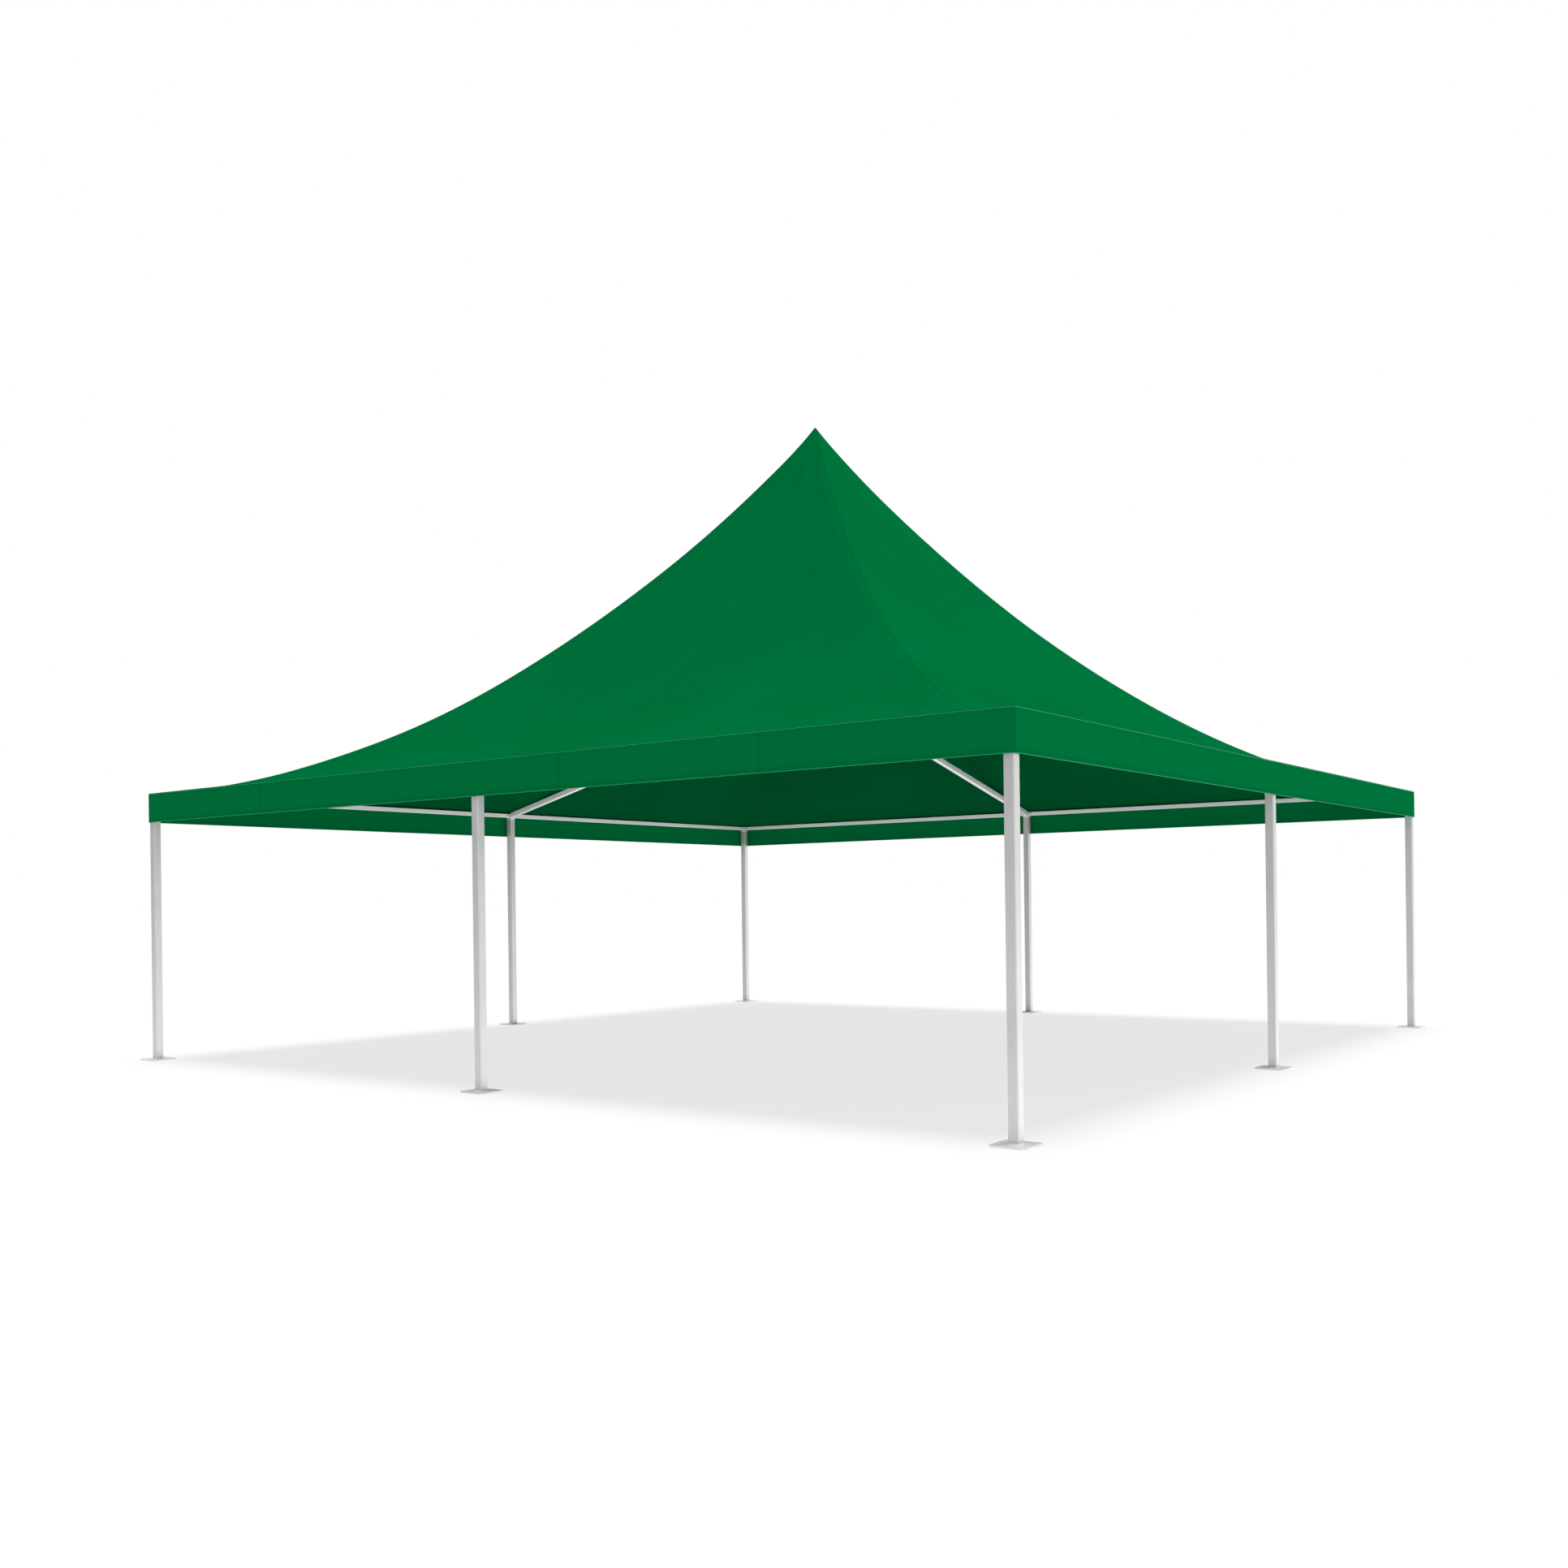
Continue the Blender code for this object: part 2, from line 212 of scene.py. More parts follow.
@dataclass(frozen=True, kw_only=True)
class CoatedCloth(Finish):
    """PVC-coated polyester, calendered: a smooth skin with a plain weave just showing through it, so it is an
    even green from afar, and close to it shows threads, lapped seams and rows of stitches."""

    eave: float
    hem: float
    name: str = "pvc_coated_polyester"
    colour: str = "#006E39"
    shade: str = "#006935"
    # The valance's own tone, set apart from the roof's and matched to how light falls on the hanging cloth:
    # painted light and shade.
    valance_painted_tone: str = "#006F39"
    roughness: tuple[float, float] = (0.5, 0.62)
    # The photograph shows no gloss on the cloth from any side, so its specular level is nothing.
    specular: float = 0.0
    relief: float = 0.8
    lap: float = 14 * MM
    lap_edge: float = 2 * MM
    hem_fold: float = 30 * MM
    stitch: float = 8 * MM
    # Real threads lie 1.1 mm apart. They are drawn 4 mm apart, so that a close view can show them.
    thread: float = 4 * MM
    cloud: float = 1.8
    streak_width: float = 0.2
    streak_length: float = 2.8
    splash: float = 0.07
    # The relief's heights, in the millimetres of its depth.
    lap_height: float = 0.9
    weave_height: float = 0.05
    stitch_height: float = -0.6
    streak_height: float = 1.6

    def draw(self, g: Graph, place: Socket) -> tuple[Socket, Socket, Socket]:
        """Draws the cloth, with a little grime above its hem.

        Args:
            g: The graph.
            place: The point on the object.

        Returns:
            The colour, the roughness and the relief's height.
        """
        x, y, z = g.add("SeparateXYZ", place).node.outputs
        u, v, _ = g.add("SeparateXYZ", g.add("UVMap", uv_map=CLOTH_MAP)).node.outputs
        laps, stitches = self.sewing(g, self.seam(g, x, y), z, u, v)
        threads = [g.add("Math", way, math.tau / self.thread, operation="MULTIPLY") for way in (u, v)]
        waves = [g.add("Math", way, operation="SINE") for way in threads]
        weave = g.add("Math", *waves, operation="MULTIPLY")
        # Rain leaves faint streaks down the slope, and tension leaves faint folds. The streaks darken the
        # tone, as rain dirt and as painted shade of the folds, and give a faint relief.
        scale = (1 / self.streak_width, 1 / self.streak_length, 1.0)
        flow = g.add("Mapping", g.add("CombineXYZ", u, v), Scale=scale)
        streaks = g.add("TexNoise", flow, Scale=1.0, Detail=3.0, Roughness=0.55)
        cloudy = g.add("TexNoise", place, Scale=1 / self.cloud, Detail=4.0, Roughness=0.6)
        tone = g.add("Math", streaks, 0.35, cloudy, operation="MULTIPLY_ADD")
        colour, rough = self.tones(g, g.add("MapRange", tone, 0.45, 0.9), cloudy)
        # Below the eave the cloth takes the valance's own tone, which is painted light and shade.
        on_skirt = g.add("MapRange", z, self.eave - 12 * MM, self.eave - 8 * MM, 1.0, 0.0)
        colour = g.add("Mix", Factor=on_skirt, A=colour, B=linear(self.valance_painted_tone), **COLOURS)
        grime = g.add("MapRange", z, self.hem, self.hem + self.splash, 0.5, 0.0, **EASED)
        grime = g.add("Math", grime, cloudy, operation="MULTIPLY")
        for where, left in ((laps, 0.94), (stitches, 0.78), (weave, 0.965), (grime, 0.85)):
            darker = {"A": colour, "B": (left, left, left, 1.0), "blend_type": "MULTIPLY"}
            colour = g.add("Mix", Factor=where, **darker, **COLOURS)
        height = g.add("Math", weave, self.weave_height, laps, operation="MULTIPLY_ADD")
        height = g.add("Math", stitches, self.stitch_height, height, operation="MULTIPLY_ADD")
        height = g.add("Math", streaks, self.streak_height, height, operation="MULTIPLY_ADD")
        return colour, rough, height

    def seam(self, g: Graph, x: Socket, y: Socket) -> Socket:
        """Works out how far a point is from the nearest seam, along a hip or between two strips of cloth.

        Args:
            g: The graph.
            x: The point's X.
            y: The point's Y.

        Returns:
            Metres from the seam in plan.
        """
        across, along = (g.add("Math", way, operation="ABSOLUTE") for way in (x, y))
        more = g.add("Math", across, along, operation="MAXIMUM")
        less = g.add("Math", across, along, operation="MINIMUM")
        hip = g.add("Math", more, less, operation="SUBTRACT")
        hip = g.add("Math", hip, math.sqrt(0.5), operation="MULTIPLY")
        shifted = g.add("Math", less, STRIP / 2, operation="ADD")
        strip = g.add("Math", shifted, STRIP / 2, operation="PINGPONG")
        return g.add("Math", hip, strip, operation="MINIMUM")

    def sewing(self, g: Graph, seam: Socket, z: Socket, u: Socket, v: Socket) -> tuple[Socket, Socket]:
        """Draws the laps of the seams and the hem, and the rows of stitches on them and below the eave.

        Args:
            g: The graph.
            seam: Metres from the nearest seam.
            z: The height above the ground.
            u: Metres along the side.
            v: Metres down the slope.

        Returns:
            The laps' height in millimetres, and 1 in a stitch.
        """
        top = self.hem + self.hem_fold
        laps = []
        for reach, end in ((seam, self.lap), (z, top)):
            laps.append(g.add("MapRange", reach, end - self.lap_edge, end, self.lap_height, 0.0, **EASED))
        stitches = []
        for reach, row, along in (
            (seam, self.lap * 0.6, v),
            (z, top - 6 * MM, u),
            (z, self.eave - 30 * MM, u),
        ):
            aside = g.add("Math", g.add("Math", reach, row, operation="SUBTRACT"), operation="ABSOLUTE")
            wide = g.add("MapRange", aside, 0.7 * MM, 1.5 * MM, 1.0, 0.0, **EASED)
            wave = g.add("Math", along, self.stitch / 2, operation="PINGPONG")
            dash = g.add("MapRange", wave, 0.5 * MM, 1.4 * MM, **EASED)
            stitches.append(g.add("Math", wide, dash, operation="MULTIPLY"))
        most = g.add("Math", *stitches[:2], operation="MAXIMUM")
        most = g.add("Math", most, stitches[2], operation="MAXIMUM")
        return g.add("Math", *laps, operation="MAXIMUM"), most


@dataclass(frozen=True, kw_only=True)
class InsideClothPaintedLightAndShade(CoatedCloth):
    """The same cloth from within, painted darker as shade, since daylight reaches it only from below;
    its valance is painted paler than its roof, as light shining through the cloth.
    """

    name: str = "pvc_coated_polyester_inside"
    # Painted shade: the roof's inside is darker than its outside.
    colour: str = "#00532B"
    shade: str = "#004B27"
    # Painted light: the valance's inside is paler, for daylight through the cloth.
    valance_painted_tone: str = "#006F3B"
    roughness: tuple[float, float] = (0.57, 0.69)


@dataclass(frozen=True, kw_only=True)
class AnodisedAluminium(Finish):
    """Extruded aluminium tube, satin anodised: a pale silver whose clear oxide film scatters part of the
    light and spreads the rest, with fine lines along the tube from the die and a little dust at the foot,
    which also paints the shade where the leg meets its plate."""

    run: Run
    colour: str = "#D8D8D8"
    shade: str = "#CECECE"
    roughness: tuple[float, float] = (0.23, 0.37)
    film: float = 0.55
    relief: float = 0.35
    depth: float = 0.08 * MM
    # The die's lines are about 0.3 mm apart. They are drawn 4 mm apart, so that a close view can show them.
    line_width: float = 4 * MM
    line_length: float = 0.65
    cloud: float = 0.28
    # Dust at the foot, which also stands as painted shade where the leg meets its plate.
    foot_dust_and_shade: str = "#B9B6AF"
    dust_from: float = 0.012
    dust_to: float = 0.14
    foot_dust_and_shade_share: float = 0.55
    dust_roughness: float = 0.3

    def draw(self, g: Graph, place: Socket) -> tuple[Socket, Socket, Socket]:
        """Draws the die's lines, the tube's soft change of tone, and the dust near the ground, which is also
        painted shade at the foot.

        Args:
            g: The graph.
            place: The point on the object.

        Returns:
            The colour, the roughness and the relief's height.
        """
        scale = [1 / self.line_width] * 3
        scale[self.run.value] = 1 / self.line_length
        drawn = g.add("Mapping", place, Scale=scale)
        lines = g.add("TexNoise", drawn, Scale=1.0, Detail=3.0, Roughness=0.6)
        cloudy = g.add("TexNoise", place, Scale=1 / self.cloud, Detail=3.0)
        tone = g.add("Math", lines, cloudy, operation="MULTIPLY")
        colour, rough = self.tones(g, g.add("MapRange", tone, 0.12, 0.42), lines)
        _, _, z = g.add("SeparateXYZ", place).node.outputs
        # The tube darkens towards the ground: dust, and painted shade where it meets the plate.
        foot_dust_and_shade_mask = g.add("MapRange", z, self.dust_from, self.dust_to, self.foot_dust_and_shade_share, 0.0, **EASED)
        foot_dust_and_shade_mask = g.add("Math", foot_dust_and_shade_mask, cloudy, operation="MULTIPLY")
        colour = g.add("Mix", Factor=foot_dust_and_shade_mask, A=colour, B=linear(self.foot_dust_and_shade), **COLOURS)
        rough = g.add("Math", foot_dust_and_shade_mask, self.dust_roughness, rough, operation="MULTIPLY_ADD")
        return colour, rough, lines


@dataclass(frozen=True, kw_only=True)
class PaintedLightAluminium(AnodisedAluminium):
    """The same tube, etched matt before it was anodised, so that its film scatters nearly all of the light:
    the beams and rafters. Their colour, paler than the legs', is painted light that lifts the tubes the cover
    shades."""

    # Painted light: paler than the legs, to lift the beams and rafters under the cover.
    colour: str = "#F2F2F2"
    shade: str = "#EAEAEA"
    film: float = 0.92


@dataclass(frozen=True, kw_only=True)
class GalvanisedSteel(Finish):
    """Hot-dip galvanised steel, weathered: its zinc has turned to a pale, matt film that hides most of the
    metal's shine, with spangles that differ a little in tone and gloss."""

    name: str = "hot_dip_galvanised_steel"
    colour: str = "#E8E8E8"
    shade: str = "#E0E0DF"
    roughness: tuple[float, float] = (0.43, 0.62)
    film: float = 0.9
    relief: float = 0.4
    depth: float = 0.15 * MM
    spangle: float = 11 * MM
    ragged: float = 16 * MM
    raggedness: float = 0.006
    skin: float = 4 * MM

    def draw(self, g: Graph, place: Socket) -> tuple[Socket, Socket, Socket]:
        """Draws the spangles, with ragged edges, and the zinc's uneven skin.

        Args:
            g: The graph.
            place: The point on the object.

        Returns:
            The colour, the roughness and the relief's height.
        """
        wobble = g.add("TexNoise", place, Scale=1 / self.ragged, Detail=2.0, output="Color")
        bend = {"data_type": "VECTOR", "output": "Result"}
        bent = g.add("Mix", Factor=self.raggedness, A=place, B=wobble, **bend)
        tone = g.add("SeparateXYZ", g.add("TexVoronoi", bent, Scale=1 / self.spangle, output="Color"))
        skin = g.add("TexNoise", place, Scale=1 / self.skin, Detail=3.0)
        return (*self.tones(g, tone, tone), skin)


@dataclass(frozen=True, kw_only=True)
class GrainedFinish(Finish):
    """A finish with one even grain. Its tone changes over broader clouds or, where it has none, with the
    grain."""

    grain: float
    detail: float = 2.0
    cloud: float = 0.0

    def draw(self, g: Graph, place: Socket) -> tuple[Socket, Socket, Socket]:
        """Draws the grain and the clouds.

        Args:
            g: The graph.
            place: The point on the object.

        Returns:
            The colour, the roughness and the relief's height.
        """
        grain = g.add("TexNoise", place, Scale=1 / self.grain, Detail=self.detail)
        tone = g.add("TexNoise", place, Scale=1 / self.cloud, Detail=4.0) if self.cloud else grain
        return (*self.tones(g, tone, grain), grain)


@dataclass(frozen=True, kw_only=True)
class BlastedCasting(GrainedFinish):
    """Sand-cast aluminium, bead blasted and anodised: duller than the tubes, with a fine grain that scatters
    most of the light."""

    name: str = "blasted_cast_aluminium"
    colour: str = "#DFE0E0"
    shade: str = "#D0D1D1"
    roughness: tuple[float, float] = (0.46, 0.62)
    film: float = 0.75
    relief: float = 0.5
    depth: float = 0.2 * MM
    # The beads leave dents of about 0.3 mm, drawn at 1.6 mm so that a close view shows a grain.
    grain: float = 1.6 * MM
    cloud: float = 55 * MM


@dataclass(frozen=True, kw_only=True)
class ZincPlatedSteel(GrainedFinish):
    """Zinc-plated bolts: brighter than the castings, faintly warm, with a fine turned grain."""

    name: str = "zinc_plated_steel"
    colour: str = "#CBCCC6"
    shade: str = "#B3B3AB"
    roughness: tuple[float, float] = (0.29, 0.44)
    film: float = 0.0
    relief: float = 0.3
    depth: float = 0.05 * MM
    # The turned grain is about 0.2 mm wide, drawn at 2 mm so that a close view shows it.
    grain: float = 2 * MM


@dataclass(frozen=True, kw_only=True)
class PipingSkin(GrainedFinish):
    """Extruded PVC piping: a paler green than the cloth, smooth, with a slight mottle and no relief."""

    name: str = "pvc_piping"
    colour: str = "#279E6A"
    shade: str = "#209563"
    roughness: tuple[float, float] = (0.44, 0.58)
    specular: float = 0.1
    grain: float = 0.11
    detail: float = 4.0


def select(piece: Piece) -> None:
    """Selects one piece alone and makes it active.

    Args:
        piece: The piece.
    """
    bpy.ops.object.select_all(action="DESELECT")
    piece.select_set(True)
    bpy.context.view_layer.objects.active = piece


def settle(name: str) -> Piece:
    """Names the piece just added and puts its place and size into its mesh.

    Args:
        name: The piece's name.

    Returns:
        The piece.
    """
    piece = bpy.context.object
    piece.name = piece.data.name = name
    bpy.ops.object.transform_apply(location=True, rotation=True, scale=True)
    return piece


def box(name: str, size: Sequence[float], centre: Sequence[float]) -> Piece:
    """Adds a box with these sides round this centre."""
    bpy.ops.mesh.primitive_cube_add(size=1.0, location=centre, scale=size)
    return settle(name)


def drum(name: str, radius: float, depth: float, centre: Sequence[float], sides: int) -> Piece:
    """Adds an upright cylinder with so many sides round this centre."""
    bpy.ops.mesh.primitive_cylinder_add(radius=radius, depth=depth, location=centre, vertices=sides)
    return settle(name)


@contextmanager
def editing(piece: Piece, mode: str) -> Iterator[bmesh.types.BMesh]:
    """Opens a piece in edit mode with nothing selected.

    Args:
        piece: The piece.
        mode: VERT, EDGE or FACE.

    Yields:
        The mesh being edited.
    """
    select(piece)
    bpy.ops.object.mode_set(mode="EDIT")
    bpy.ops.mesh.select_mode(type=mode)
    bpy.ops.mesh.select_all(action="DESELECT")
    yield bmesh.from_edit_mesh(piece.data)
    bpy.ops.object.mode_set(mode="OBJECT")


def round_edges(piece: Piece, wanted: EdgeTest, width: float, steps: int) -> None:
    """Bevels the edges that a test picks by their ends.

    Args:
        piece: The piece.
        wanted: Whether an edge with these two ends is bevelled.
        width: The bevel's width.
        steps: How many segments it has.
    """
    with editing(piece, "EDGE") as edit:
        for edge in edit.edges:
            edge.select_set(wanted(edge.verts[0].co, edge.verts[1].co))
        bmesh.update_edit_mesh(piece.data)
        bpy.ops.mesh.bevel(offset=width, segments=steps, profile=0.5, affect="EDGES")


def upright(height: float) -> EdgeTest:
    """Picks the upright edges of a piece of this height."""
    return lambda one, other: abs(one.z - other.z) > height / 2


def above(height: float) -> EdgeTest:
    """Picks the edges that lie wholly above this height."""
    return lambda one, other: min(one.z, other.z) > height


def modify(piece: Piece, kind: str, **settings: object) -> None:
    """Gives a piece a modifier and applies it.

    Args:
        piece: The piece.
        kind: Blender's name for the modifier.
        settings: Its properties.
    """
    modifier = piece.modifiers.new(kind.lower(), kind)
    for name, value in settings.items():
        setattr(modifier, name, value)
    select(piece)
    bpy.ops.object.modifier_apply(modifier=modifier.name)


def cut(piece: Piece, cutter: Piece) -> None:
    """Cuts one piece out of another and throws the cutter away."""
    modify(piece, "BOOLEAN", object=cutter, operation="DIFFERENCE")
    bpy.data.objects.remove(cutter, do_unlink=True)


def join(pieces: Sequence[Piece], name: str) -> Piece:
    """Joins pieces into one object.

    Args:
        pieces: The pieces, of which the first one stays.
        name: The whole's name.

    Returns:
        The joined object.
    """
    select(pieces[0])
    for piece in pieces[1:]:
        piece.select_set(True)
    bpy.ops.object.join()
    whole = bpy.context.object
    whole.name = whole.data.name = name
    return whole


def put(name: str, data: bpy.types.ID) -> Piece:
    """Puts a new object into the scene.

    Args:
        name: Its name.
        data: Its mesh, curve, camera or light.

    Returns:
        The object.
    """
    made = bpy.data.objects.new(name, data)
    bpy.context.scene.collection.objects.link(made)
    return made


def copy_to(place: Matrix, piece: Piece, name: str) -> Piece:
    """Copies a piece, mesh and all, to another place.

    Args:
        place: How it moves from the first one.
        piece: The piece.
        name: The copy's name.

    Returns:
        The copy.
    """
    mesh = piece.data.copy()
    mesh.name = name
    mesh.transform(place)
    return put(name, mesh)


def smooth(piece: Piece, degrees: float) -> None:
    """Shades a piece smooth, but keeps an edge sharp from this angle on."""
    select(piece)
    bpy.ops.object.shade_smooth_by_angle(angle=math.radians(degrees))


def paint(piece: Piece, *materials: Material) -> None:
    """Gives a piece its materials.

    Args:
        piece: The piece.
        materials: The materials, one for each slot.
    """
    piece.data.materials.clear()
    for material in materials:
        piece.data.materials.append(material)


def hand_over(piece: Piece, slot: Slot, *stands_for: str) -> None:
    """Fixes a finished piece to the frame and reports it.

    Args:
        piece: The piece.
        slot: The record's material slot. It is not used.
        stands_for: The solids that it replaces.
    """
    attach(piece, "root")
    if stands_for:
        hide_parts(*stands_for)
    log.info("%s: %d faces", piece.name, len(piece.data.polygons))


def ease(value: np.ndarray | float) -> np.ndarray:
    """Eases from 0 to 1 as the value goes from 0 to 1."""
    held = np.clip(value, 0.0, 1.0)
    return held * held * (3 - 2 * held)


@dataclass
class Cover:
    """The cover: one sewn sheet of coated cloth from the sharp peak, over the eave and down to the hem."""

    half: float = 4.5
    hem: float = 2.21
    eave: float = 2.48
    peak: float = 6.11
    power: float = 1.8
    lift: float = 0.048
    lift_place: float = 0.11
    # Real cloth is 0.6 mm thick. It is drawn 2 mm thick, so that its cut edge and its folds show.
    thickness: float = 2 * MM
    tip: float = 6 * MM
    tip_rise: float = 3.6 * MM
    fold: float = 10 * MM
    cord: float = 2.1 * MM
    # The corners' and the hips' rounding. The onset is how quickly it grows down from the peak.
    corner_round: float = 0.035
    hip_round: float = 0.08
    hip_zone: float = 2.9
    hip_onset: float = 2.5
    # A rounded hip is pushed out to where a sharp one would be, but not next to the eave or the peak.
    eave_zone: float = 0.5
    peak_zone: float = 1.5
    # The sides draw in half way up, and swell between the hips.
    waist: float = 0.055
    waist_start: float = 1.2
    waist_zone: float = 1.8
    waist_end: float = 0.6
    bulge: float = 0.035
    # How deep the cloth's own waves are.
    pleat: float = 9 * MM
    corner_fold: float = 9 * MM
    strip_wave: float = 5 * MM
    broad_wave: float = 10 * MM
    valance_wave: float = 3.5 * MM
    # The rafters hold the cloth even, over this width and from this far out.
    rafter_hold: float = 0.4
    rafter_from: float = 2.6
    # The sheet's rows and columns, which crowd towards the peak and the hips.
    roof_rows: int = 88
    fold_rows: int = 5
    valance_rows: int = 12
    crowding: float = 1.25
    straight: int = 60
    evenness: float = 0.65
    arc: int = 8

    @property
    def across(self) -> np.ndarray:
        """The place of a side's columns across it, from -1 at one hip to 1 at the other."""
        evenly = np.linspace(-1.0, 1.0, self.straight + 1)
        return self.evenness * evenly + (1 - self.evenness) * np.sin(math.pi / 2 * evenly)

    def height(self, way_out: float, across: np.ndarray) -> np.ndarray:
        """Gives the roof's height.

        Args:
            way_out: 0 at the peak and 1 at the eave.
            across: 0 at mid-side and 1 at a hip.

        Returns:
            The height above the ground.
        """
        way_in = np.clip(1 - way_out, 0.0, 1.0)
        plain = self.eave + (self.peak - self.eave) * way_in**self.power
        bump = way_in / self.lift_place * np.exp(1 - way_in / self.lift_place)
        return plain + self.lift * bump * (1 - across**2)

    def ring(self, size: float) -> tuple[np.ndarray, np.ndarray]:
        """Draws one level's outline, a square with soft corners and sides that swell a little.

        Args:
            size: Half the level's side.

        Returns:
            The points in plan, and the place of each across its side, from -1 to 1.
        """
        way_out = size / self.half
        inward = self.half - size
        radius = self.corner_round + (self.hip_round - self.corner_round) * ease(inward / self.hip_zone)
        radius *= 1 - math.exp(-size / (self.hip_onset * radius))
        pushed_out = (1 - math.sqrt(0.5)) * radius * ease(inward / self.eave_zone)
        drawn_in = self.waist * ease((inward - self.waist_start) / self.waist_zone)
        drawn_in *= 1 - math.exp(-size / self.waist_end)
        reach = size + pushed_out * ease(size / self.peak_zone) - drawn_in
        swell = self.bulge * 4 * way_out * (1 - way_out)
        across = self.across
        flat = np.stack([reach + swell * (1 - across**2), across * (reach - radius)], axis=1)
        angles = math.pi / 2 * np.arange(1, self.arc) / self.arc
        bend = reach - radius + radius * np.stack([np.cos(angles), np.sin(angles)], axis=1)
        one = np.concatenate([flat, bend])
        share = np.clip(np.concatenate([flat[:, 1] / size, np.ones(self.arc - 1)]), -1.0, 1.0)
        points = []
        for side in Side:
            cos, sin = math.cos(side.value), math.sin(side.value)
            points.append(one @ np.array([[cos, sin], [-sin, cos]]))
        return np.concatenate(points), np.tile(share, len(Side))

    def grid(self) -> tuple[np.ndarray, np.ndarray]:
        """Lays out the whole sheet.

        Returns:
            Its points, row by row from the peak to the hem, and each row's half side.
        """
        steps = np.linspace(0.0, 1.0, self.roof_rows + 1) ** self.crowding
        start, end = self.tip / self.half, 1 - self.fold / self.half
        rows, sizes = [], []
        for way_out in start + (end - start) * steps:
            sizes.append(way_out * self.half)
            plan, across = self.ring(sizes[-1])
            rows.append(np.c_[plan, self.height(way_out, across)])
        edge = rows[-1][:, 2]
        for angle in math.pi / 2 * np.arange(1, self.fold_rows + 1) / self.fold_rows:
            sizes.append(self.half - self.fold + self.fold * math.sin(angle))
            plan, _ = self.ring(sizes[-1])
            rows.append(np.c_[plan, edge - self.fold * (1 - math.cos(angle))])
        top = rows[-1][:, 2]
        plan, _ = self.ring(self.half)
        for share in np.arange(1, self.valance_rows + 1) / self.valance_rows:
            sizes.append(self.half)
            rows.append(np.c_[plan, top * (1 - share) + self.hem * share])
        return np.array(rows), np.array(sizes)

    def ripple(self, points: np.ndarray, sizes: np.ndarray) -> np.ndarray:
        """Works out how far the real cloth strays from its even shape.

        The waves' lengths don't divide each other, so that no two sides look alike.

        Args:
            points: The sheet's points.
            sizes: Each row's half side.

        Returns:
            How far each point moves outwards.
        """
        x, y, z = np.moveaxis(points, 2, 0)
        size = sizes[:, None]
        less = np.minimum(abs(x), abs(y))
        turn = np.arctan2(y, x)
        inward, aside = self.half - size, size - less
        pleats = 0.55 * np.cos(11 * turn + 0.7) + 0.45 * np.cos(17 * turn + 2.1)
        pleats = pleats * self.pleat * ease(size / 0.45) * np.exp(-(((size - 0.5) / 0.8) ** 2))
        reach = np.hypot(inward, aside)
        fan = np.cos(11 * np.arctan2(inward, aside) + 3 * np.sin(turn))
        folds = self.corner_fold * np.exp(-reach / 1.2) * ease(reach / 0.3) * fan
        strips = self.strip_wave * np.cos(math.tau * less / STRIP) * ease(inward / 1.5) * ease(size / 1.6)
        broad = self.broad_wave * np.sin(1.7 * x + 0.3) * np.sin(1.3 * y + 1.1) * ease(size / 1.2)
        held = np.exp(-((less / self.rafter_hold) ** 2)) * ease((size - self.rafter_from) / 0.6)
        roof = (pleats + folds + strips + broad) * ease(inward / 0.35) * (1 - held)
        along = np.where(abs(x) > abs(y), y, x) + 2.3 * np.round(turn / (math.pi / 2))
        wave = 0.6 * np.sin(math.tau * along / 0.93 + 0.4) + 0.4 * np.sin(math.tau * along / 0.41 + 1.9)
        free_from = self.eave - 0.04
        drop = np.clip((free_from - z) / (free_from - self.hem), 0.0, 1.0)
        valance = self.valance_wave * wave * drop**1.5 * ease((self.half - less) / 0.25)
        on_roof = np.arange(len(sizes))[:, None] <= self.roof_rows
        return np.where(on_roof, roof, valance)

    def shaped(self) -> tuple[np.ndarray, np.ndarray]:
        """Moves the even sheet to its real shape.

        Returns:
            The sheet's points and each row's half side.
        """
        points, sizes = self.grid()
        down = np.gradient(points, axis=0)
        round_about = np.roll(points, -1, axis=1) - np.roll(points, 1, axis=1)
        out = np.cross(down, round_about)
        out /= np.linalg.norm(out, axis=2, keepdims=True)
        return points + out * self.ripple(points, sizes)[..., None], sizes

    def cloth_map(self, sizes: np.ndarray) -> np.ndarray:
        """Gives each column of faces its own place on the flat cloth, so that threads run along each side.

        Args:
            sizes: Each row's half side.

        Returns:
            For each column, the U of its two edges at each row.
        """
        places = np.multiply.outer(self.across, sizes)
        columns = list(zip(places[:-1], places[1:]))
        bend = self.corner_round * math.pi / 2
        for near in np.arange(self.arc) / self.arc:
            far = near + 1 / self.arc
            if far <= 0.5:
                columns.append((sizes + bend * near, sizes + bend * far))
            else:
                columns.append((-sizes - bend * (1 - near), -sizes - bend * (1 - far)))
        return np.array(columns * len(Side))

